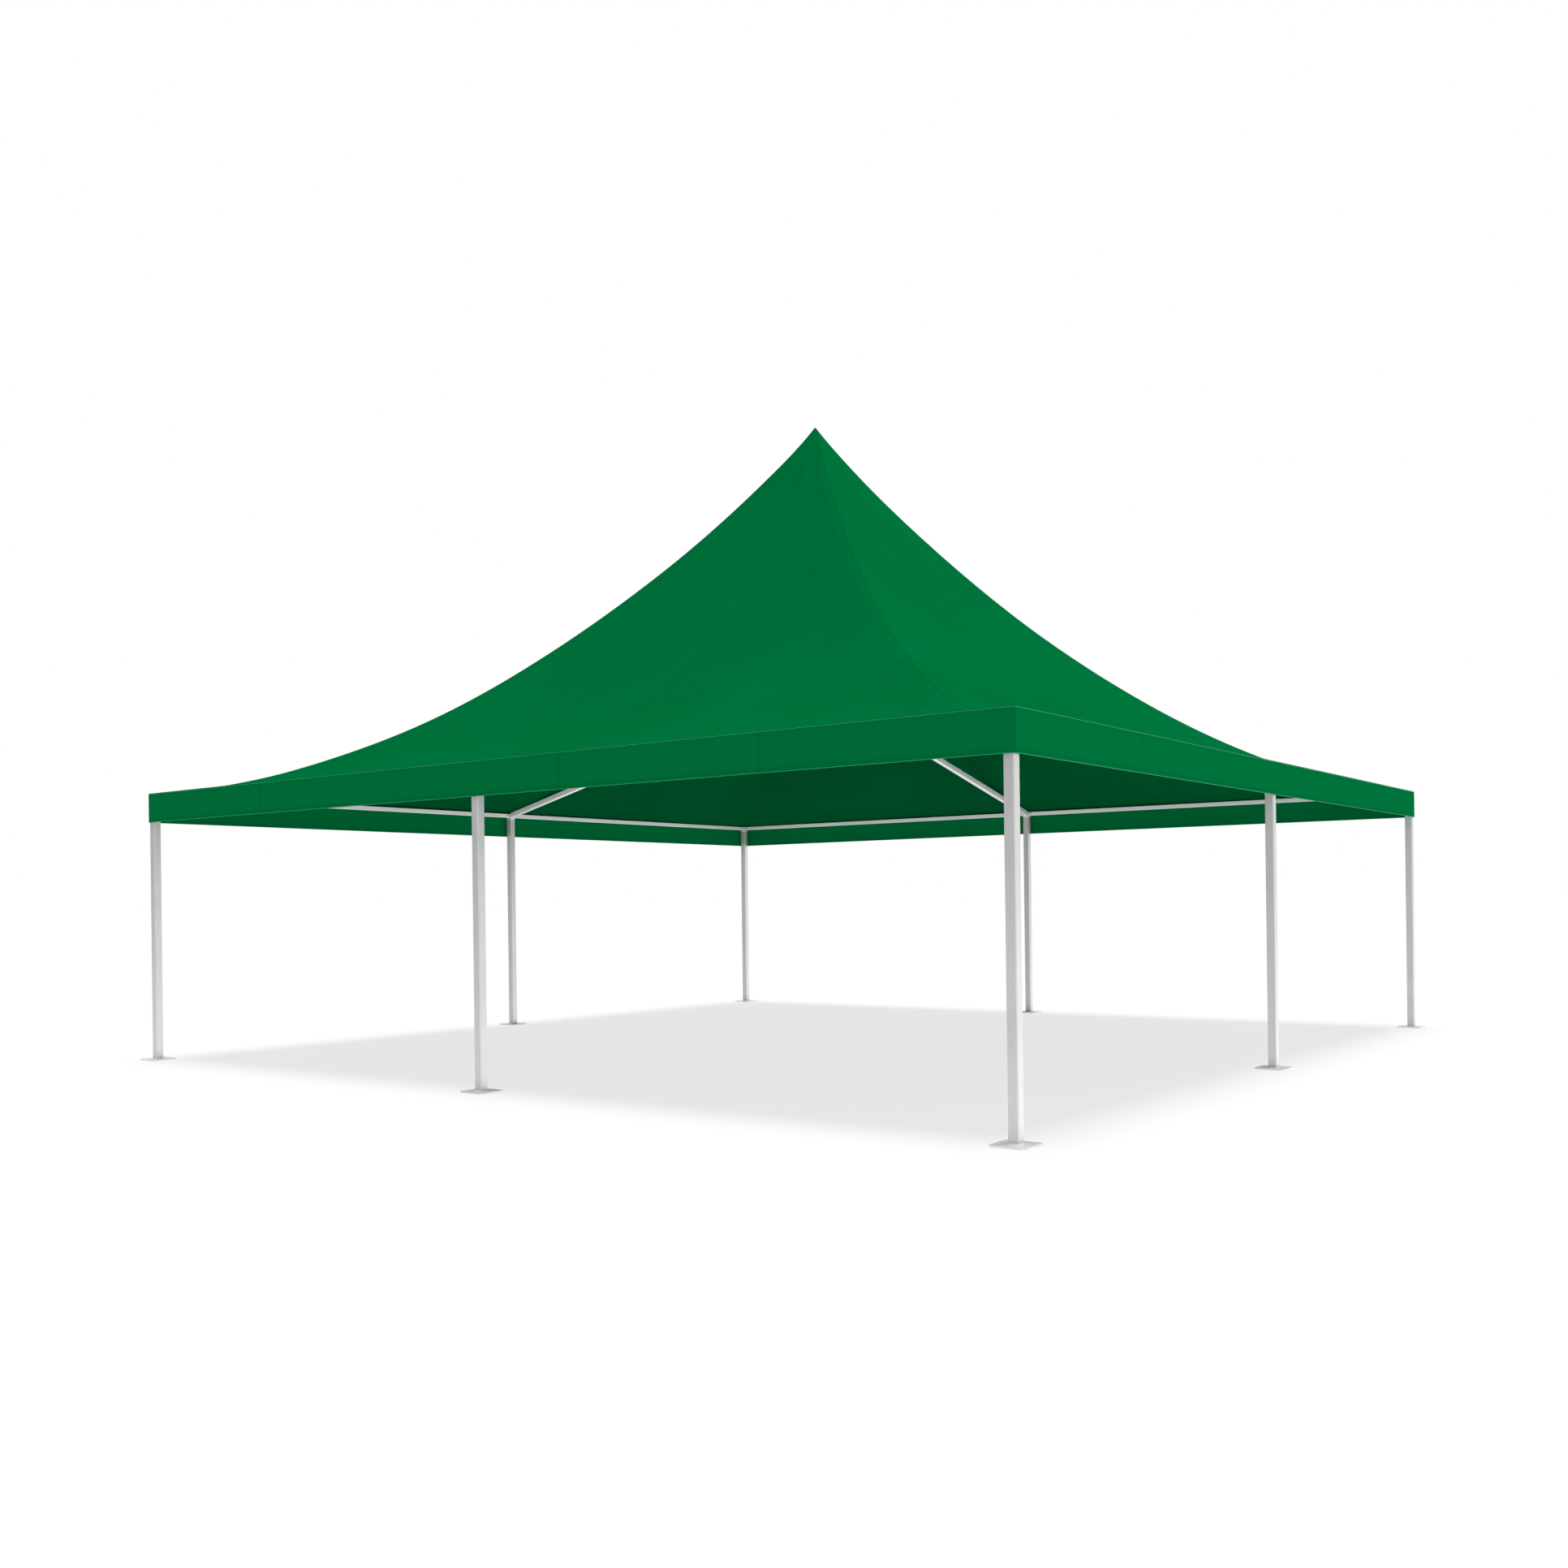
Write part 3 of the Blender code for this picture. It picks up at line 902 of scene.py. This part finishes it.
    def sheet(self) -> tuple[Piece, np.ndarray, float]:
        """Builds the sheet as one skin.

        Returns:
            The sheet, its points, and the distance from the peak down to the hem.
        """
        points, sizes = self.shaped()
        rows, columns = points.shape[:2]
        steps = np.linalg.norm(np.diff(points[:, self.straight // 2], axis=0), axis=1)
        down = np.concatenate([[0.0], np.cumsum(steps)])
        pole = (0.0, 0.0, points[0, :, 2].max() + self.tip_rise)
        verts = [*points.reshape(-1, 3), pole]
        across = self.cloth_map(sizes)
        faces, corners = [], []
        for row in range(rows - 1):
            here, below = row * columns, (row + 1) * columns
            for column in range(columns):
                after = (column + 1) % columns
                faces.append((here + column, below + column, below + after, here + after))
                for edge, level in ((0, row), (0, row + 1), (1, row + 1), (1, row)):
                    corners.append((across[column, edge, level], down[level]))
        for column in range(columns):
            faces.append((len(verts) - 1, column, (column + 1) % columns))
            corners += [(0.0, 0.0), (across[column, 0, 0], down[0]), (across[column, 1, 0], down[0])]
        mesh = bpy.data.meshes.new("cover")
        mesh.from_pydata(verts, [], faces)
        flat = mesh.uv_layers.new(name=CLOTH_MAP)
        flat.data.foreach_set("uv", np.array(corners, dtype=np.float32).ravel())
        return put("cover", mesh), points, float(down[-1])

    def bead(self, name: str, path: np.ndarray, outward: float, upward: float, skin: Material) -> Piece:
        """Runs a round bead of piping along a row of the sheet and hands it over.

        Args:
            name: The bead's name.
            path: The row's points.
            outward: How far outside them it runs.
            upward: How far above them it runs.
            skin: Its finish.

        Returns:
            The bead, as a mesh.
        """
        path = np.c_[path[:, :2] * (1 + outward / self.half), path[:, 2] + upward, np.ones(len(path))]
        curve = bpy.data.curves.new(name, "CURVE")
        curve.dimensions = "3D"
        curve.bevel_depth = self.cord
        curve.bevel_resolution = 1
        line = curve.splines.new("POLY")
        line.points.add(len(path) - 1)
        line.points.foreach_set("co", path.ravel())
        line.use_cyclic_u = True
        piece = put(name, curve)
        select(piece)
        bpy.ops.object.convert(target="MESH")
        smooth(piece, 60)
        paint(piece, skin)
        hand_over(piece, Slot.COVER)
        return piece

    def build(self) -> None:
        """Builds the sheet, gives it its thickness, and runs the piping round its eave and its hem."""
        piece, points, length = self.sheet()
        paint(piece, *(kind(eave=self.eave, hem=self.hem).make() for kind in (CoatedCloth, InsideClothPaintedLightAndShade)))
        wall = {"thickness": self.thickness, "offset": -1.0, "use_even_offset": True}
        modify(piece, "SOLIDIFY", material_offset=1, material_offset_rim=0, **wall)
        smooth(piece, 40)
        skin = PipingSkin().make()
        turn_row = self.roof_rows + self.fold_rows
        eave_piping = self.bead("eave_piping", points[turn_row], MM, 0.0, skin)
        hem_piping = self.bead("hem_piping", points[-1], -self.thickness / 2, MM, skin)
        solids = [f"{part}_{side.name.lower()}" for part in ("roof_panel", "valance") for side in Side]
        hand_over(piece, Slot.COVER, *solids)


@dataclass
class BaseShoes:
    """The base plates: thick square plates with cut corners, peg holes and a weld round each leg."""

    side: float = 0.240
    thickness: float = 0.010
    chamfer: float = 0.022
    edge: float = 1.2 * MM
    hole: float = 7 * MM
    hole_place: float = 0.094
    leg: float = 0.070
    leg_round: float = 0.008
    weld: float = 5 * MM
    # The top of the weld is this much wider than the leg.
    weld_room: float = 0.4 * MM

    def plate(self) -> Piece:
        """Models one plate at the origin.

        Returns:
            The plate.
        """
        middle = self.thickness / 2
        plate = box("plate", (self.side, self.side, self.thickness), (0, 0, middle))
        round_edges(plate, upright(self.thickness), self.chamfer, 1)
        round_edges(plate, above(middle), self.edge, 2)
        for x in (-self.hole_place, self.hole_place):
            for y in (-self.hole_place, self.hole_place):
                cut(plate, drum("hole", self.hole, 3 * self.thickness, (x, y, middle), 24))
        return plate

    def weld_bead(self) -> Piece:
        """Models the fillet of weld that joins a leg to its plate.

        Returns:
            The weld.
        """
        wide = self.leg + 2 * self.weld
        bead = box("weld", (wide, wide, self.weld), (0, 0, self.thickness + self.weld / 2))
        round_edges(bead, upright(self.weld), self.leg_round + self.weld, 4)
        with editing(bead, "FACE") as edit:
            for face in edit.faces:
                face.select_set(face.normal.z > 0.9)
            bmesh.update_edit_mesh(bead.data)
            shrink = (self.leg + self.weld_room) / wide
            bpy.ops.transform.resize(value=(shrink, shrink, 1.0), center_override=(0, 0, 0))
        return bead

    def build(self, legs: dict[str, Vector]) -> None:
        """Puts a shoe under each leg.

        Args:
            legs: Where each leg stands, by name.
        """
        shoe = join([self.plate(), self.weld_bead()], "shoe")
        smooth(shoe, 35)
        paint(shoe, GalvanisedSteel().make())
        for name, place in legs.items():
            piece = copy_to(Matrix.Translation(place), shoe, f"base_shoe_{name}")
            hand_over(piece, Slot.PLATE, f"base_plate_{name}")
        bpy.data.objects.remove(shoe, do_unlink=True)


@dataclass
class Joints:
    """The castings that sit on the legs and hold the beams and rafters, with their bolts.

    Each is modelled at the right-hand side or the back right corner, and copied round from there.
    """

    line: float = LEG_LINE
    block: float = 0.070
    block_round: float = 0.008
    top_round: float = 1.5 * MM
    beam_top: float = 2.4757
    beam: float = 0.045
    rafter: float = 0.055
    hub: float = 0.110
    hub_height: float = 3.54
    collar: float = 4 * MM
    collar_rim: float = 4 * MM
    collar_round: float = 1.2 * MM
    bolt: float = 7.5 * MM
    bolt_head: float = 5.3 * MM
    bolt_round: float = 0.8 * MM
    washer: float = 9 * MM
    washer_thickness: float = 1.6 * MM
    washer_round: float = 0.3 * MM
    bolt_place: float = 0.030

    @property
    def face(self) -> float:
        """The distance from a block's middle to its faces."""
        return self.block / 2

    @property
    def beam_axis(self) -> float:
        """The height of the beams' centre lines."""
        return self.beam_top - self.beam / 2

    def rafter_axis(self, x: float) -> float:
        """Gives the height of the right-hand rafter's centre line at this distance from the mast."""
        return self.hub_height + (self.beam_axis - self.hub_height) * x / self.line

    def body(self, y: float) -> Piece:
        """Models a casting's block.

        Args:
            y: Its place along the right-hand side.

        Returns:
            The block.
        """
        middle = self.beam_top - self.face
        block = box("block", (self.block, self.block, self.block), (self.line, y, middle))
        round_edges(block, upright(self.block), self.block_round, 4)
        round_edges(
            block,
            lambda one, other: abs(one.z - other.z) < MM and abs(one.z - middle) > self.block / 3,
            self.top_round,
            2,
        )
        return block

    def rim(self, centre: Sequence[float], size: Sequence[float]) -> Piece:
        """Models the raised rim that a tube's end sits in.

        Args:
            centre: Its middle.
            size: Its sides.

        Returns:
            The rim.
        """
        rim = box("rim", size, centre)
        round_edges(rim, lambda one, other: True, self.collar_round, 2)
        return rim

    def beam_rim(self, x: float, y: float, run: Run) -> Piece:
        """Models a beam's rim, which stops level with the beam's top.

        Args:
            x: Its place.
            y: Its place.
            run: Which way the beam runs.

        Returns:
            The rim.
        """
        wide = self.beam + 2 * self.collar_rim
        size = [wide, wide, wide - self.collar_rim]
        size[run.value] = self.collar
        return self.rim((x, y, self.beam_axis - self.collar_rim / 2), size)

    def castings(self) -> tuple[Piece, Piece]:
        """Models the castings of the back right corner and of the right-hand side.

        Returns:
            The two castings.
        """
        line, out = self.line, self.face + self.collar / 2
        inner, wide = line - out, self.rafter + 2 * self.collar_rim
        rims = [self.beam_rim(inner, line, Run.ALONG_X), self.beam_rim(line, inner, Run.ALONG_Y)]
        corner = join([self.body(line), *rims], "corner_casting")
        rims = [self.beam_rim(line, y, Run.ALONG_Y) for y in (out, -out)]
        centre = (inner, 0.0, self.rafter_axis(inner) - self.collar_rim)
        rims.append(self.rim(centre, (self.collar, wide, wide)))
        return corner, join([self.body(0.0), *rims], "side_casting")

    def bolt_piece(self) -> Piece:
        """Models one hexagon bolt head on its washer, at the origin and facing up.

        Returns:
            The bolt.
        """
        flat = self.washer_thickness
        washer = drum("washer", self.washer, flat, (0, 0, flat / 2), 20)
        round_edges(washer, above(flat / 2), self.washer_round, 1)
        head = drum("head", self.bolt, self.bolt_head, (0, 0, flat + self.bolt_head / 2), 6)
        round_edges(head, above(flat + self.bolt_head - MM), self.bolt_round, 1)
        bolt = join([washer, head], "bolt")
        smooth(bolt, 30)
        return bolt

    def rafter_bolt(self, x: float, way: int) -> Bolt:
        """Places a bolt in one face of the right-hand rafter, at this distance from the mast."""
        return Vector((x, way * self.rafter / 2, self.rafter_axis(x))), Vector((0, way, 0))

    def bolts(self) -> tuple[list[Bolt], list[Bolt], list[Bolt]]:
        """Places the bolts of the back right corner, of the right-hand side, and of the hub.

        Returns:
            For each of the three, every bolt's place and the way that it faces.
        """
        line, axis, beam_face = self.line, self.beam_axis, self.line - self.beam / 2
        leg_z = self.beam_top - self.block - self.bolt_place
        inner, off = line - self.face - self.bolt_place, self.face + self.bolt_place
        near_rim, near_hub = line - self.face - 1.4 * self.bolt_place, self.hub / 2 + 1.2 * self.bolt_place
        to_left, to_front = Vector((-1, 0, 0)), Vector((0, -1, 0))
        corner = [
            (Vector((line - self.face, line, leg_z)), to_left),
            (Vector((line, line - self.face, leg_z)), to_front),
            (Vector((inner, beam_face, axis)), to_front),
            (Vector((beam_face, inner, axis)), to_left),
        ]
        side = [(Vector((beam_face, y, axis)), to_left) for y in (-off, off)]
        for way in (-1, 1):
            side.append((Vector((line, way * self.face, leg_z)), Vector((0, way, 0))))
            side.append(self.rafter_bolt(near_rim, way))
        hub = []
        for spot in Side:
            for place, outward in (self.rafter_bolt(near_hub, way) for way in (-1, 1)):
                hub.append((spot.turn @ place, spot.turn.to_3x3() @ outward))
        return corner, side, hub

    def fasten(self, name: str, bolt: Piece, bolts: Sequence[Bolt], turn: Matrix) -> None:
        """Copies the bolt to a joint's places and hands the set over as one piece.

        Args:
            name: The set's name.
            bolt: The bolt.
            bolts: Each bolt's place and the way that it faces, before the turn.
            turn: How the joint turns about the mast.
        """
        copies = []
        for number, (place, outward) in enumerate(bolts):
            stand = Matrix.Translation(place) @ outward.to_track_quat("Z", "Y").to_matrix().to_4x4()
            copies.append(copy_to(turn @ stand, bolt, f"{name}_{number}"))
        hand_over(join(copies, name), Slot.JOINT)

    def build(self) -> None:
        """Puts a casting and its bolts on each leg, and bolts the rafters to the hub."""
        cast = BlastedCasting().make()
        bolt = self.bolt_piece()
        paint(bolt, ZincPlatedSteel().make())
        corner, side = self.castings()
        at_corner, at_side, at_hub = self.bolts()
        for kind, model, bolts, spots in (
            ("corner", corner, at_corner, Corner),
            ("side", side, at_side, Side),
        ):
            smooth(model, 35)
            paint(model, cast)
            for spot in spots:
                name = spot.name.lower()
                piece = copy_to(spot.turn, model, f"{kind}_casting_{name}")
                hand_over(piece, Slot.JOINT, f"{kind}_joint_{name}")
                self.fasten(f"bolts_{name}", bolt, bolts, spot.turn)
            bpy.data.objects.remove(model, do_unlink=True)
        self.fasten("bolts_hub", bolt, at_hub, Matrix.Identity(4))
        bpy.data.objects.remove(bolt, do_unlink=True)


@dataclass
class TubeFrame:
    """The drawn aluminium tubes, which keep their solids: legs, beams, rafters and the king mast."""

    line: float = LEG_LINE

    def leg_places(self) -> dict[str, Vector]:
        """Says where each leg stands on the ground, by name."""
        firsts = ((Side, Vector((self.line, 0, 0))), (Corner, Vector((self.line, self.line, 0))))
        return {spot.name.lower(): spot.turn @ first for spots, first in firsts for spot in spots}

    def dress(self) -> None:
        """Gives each tube its finish, with the die's lines along it."""
        standing = AnodisedAluminium(name="anodised_aluminium_upright", run=Run.UPRIGHT).make()
        # The beams and rafters take the paler tube, whose colour is painted light.
        along_x, along_y = (
            PaintedLightAluminium(name=f"etched_aluminium_{run.name.lower()}", run=run).make()
            for run in (Run.ALONG_X, Run.ALONG_Y)
        )
        for name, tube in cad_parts.items():
            kind, _, where = name.partition("_")
            if kind in ("leg", "king"):
                finish = standing
            elif kind == "beam":
                finish = along_y if where.startswith(("right", "left")) else along_x
            elif kind == "rafter":
                finish = along_x if where in ("right", "left") else along_y
            else:
                continue
            for slot in tube.material_slots:
                slot.material = finish
            log.info("%s: dressed in %s", name, finish.name)


@dataclass
class Studio:
    """The pale floor, the soft light and the camera."""

    lens: float = 33.335
    sensor: float = 36.0
    shift: tuple[float, float] = (0.0078, 0.0765)
    eye: tuple[float, float, float] = (8.296, -11.806, 1.38)
    yaw: float = math.radians(37.04)
    roll: float = math.radians(-0.71)
    near: float = 0.1
    far: float = 2000.0
    floor_size: float = 900.0
    floor_glow: float = 0.77
    floor_grey: float = 0.04
    # The floor lies this far under the ground level, clear of the plates' undersides.
    floor_gap: float = 0.5 * MM
    zenith: float = 15.5
    zenith_spread: float = math.radians(19)
    zenith_height: float = 20.0
    low_swing: float = 0.28
    high_swing: float = 0.95
    narrowing: float = 5.0
    bounce: float = 1.55
    under: float = 0.5
    wall: float = 0.5
    ceiling: float = 1.39
    bright_side: float = math.radians(48)

    def camera(self) -> None:
        """Places the camera at the photograph's viewpoint."""
        data = bpy.data.cameras.new("camera")
        data.lens, data.sensor_width = self.lens, self.sensor
        data.shift_x, data.shift_y = self.shift
        data.clip_start, data.clip_end = self.near, self.far
        camera = put("camera", data)
        level = Matrix.Rotation(self.yaw, 4, "Z") @ Matrix.Rotation(math.pi / 2, 4, "X")
        camera.matrix_world = Matrix.Translation(self.eye) @ level @ Matrix.Rotation(self.roll, 4, "Z")
        bpy.context.scene.camera = camera

    def floor(self) -> Piece:
        """Lays a plain pale floor, which shows a soft shadow and is clear from below.

        Returns:
            The floor.
        """
        bpy.ops.mesh.primitive_plane_add(size=self.floor_size, location=(0, 0, -self.floor_gap))
        floor = settle("floor")
        g = Graph(bpy.data.materials.new("studio_floor"))
        glow = g.add("Emission", (1, 1, 1, 1), self.floor_glow)
        both = g.add("AddShader", glow, g.add("BsdfDiffuse", (*[self.floor_grey] * 3, 1)))
        below = g.add("NewGeometry", output="Backfacing")
        g.add("OutputMaterial", g.add("MixShader", below, both, g.add("BsdfTransparent")))
        paint(floor, g.holder)
        floor.visible_diffuse = floor.visible_glossy = floor.visible_shadow = False
        return floor

    def sky(self) -> None:
        """Surrounds the tent with soft white light: a pale floor, dimmer walls and a bright ceiling."""
        world = bpy.data.worlds.new("soft_studio")
        bpy.context.scene.world = world
        g = Graph(world)
        way = g.add("TexCoord", output="Generated")
        _, _, up = g.add("SeparateXYZ", way).node.outputs
        bright = (math.cos(self.bright_side), math.sin(self.bright_side), 0.0)
        lean = g.add("VectorMath", way, bright, operation="DOT_PRODUCT", output="Value")
        lean = g.add("Math", lean, self.narrowing, operation="POWER")
        # Each ramp runs from one height in the sky to another, given as the sines of their angles, and
        # from one strength of light to another.
        ramps = (
            (-0.1, 0.1, self.low_swing, self.high_swing),
            (-0.15, 0.06, self.bounce, self.wall),
            (0.15, 0.7, 0.0, self.ceiling - self.wall),
            (-0.6, -0.12, self.under, 1.0),
        )
        swing, wall, ceiling, under = (g.add("MapRange", up, *ramp, **EASED) for ramp in ramps)
        lean = g.add("Math", lean, swing, 1.0, operation="MULTIPLY_ADD")
        wall = g.add("Math", wall, under, operation="MULTIPLY")
        level = g.add("Math", wall, ceiling, operation="ADD")
        level = g.add("Math", level, lean, operation="MULTIPLY")
        soft = g.add("Background", (1, 1, 1, 1), level)
        plain = g.add("Background", (1, 1, 1, 1), 1.0)
        g.add("OutputWorld", g.add("MixShader", g.add("LightPath", output="Is Camera Ray"), soft, plain))

    def lamps(self, floor: Piece) -> None:
        """Hangs a broad lamp straight overhead, which lights the floor alone.

        Args:
            floor: The floor.
        """
        data = bpy.data.lights.new("overhead", "SUN")
        data.energy, data.angle = self.zenith, self.zenith_spread
        lamp = put("overhead", data)
        lamp.location = (0, 0, self.zenith_height)
        lit = bpy.data.collections.new("lit_by_overhead")
        lit.objects.link(floor)
        lamp.light_linking.receiver_collection = lit

    def build(self) -> None:
        """Sets the stage."""
        settings = bpy.context.scene.view_settings
        settings.view_transform, settings.look = "Standard", "None"
        settings.exposure, settings.gamma = 0.0, 1.0
        self.camera()
        self.sky()
        self.lamps(self.floor())
        log.info("studio: camera, floor and light are set")


def main() -> None:
    """Builds each sub-assembly in order."""
    logging.basicConfig(level=logging.INFO, format="%(name)s: %(message)s")
    Studio().build()
    tubes = TubeFrame()
    tubes.dress()
    BaseShoes().build(tubes.leg_places())
    Joints().build()
    Cover().build()


if __name__ == "__main__":
    main()
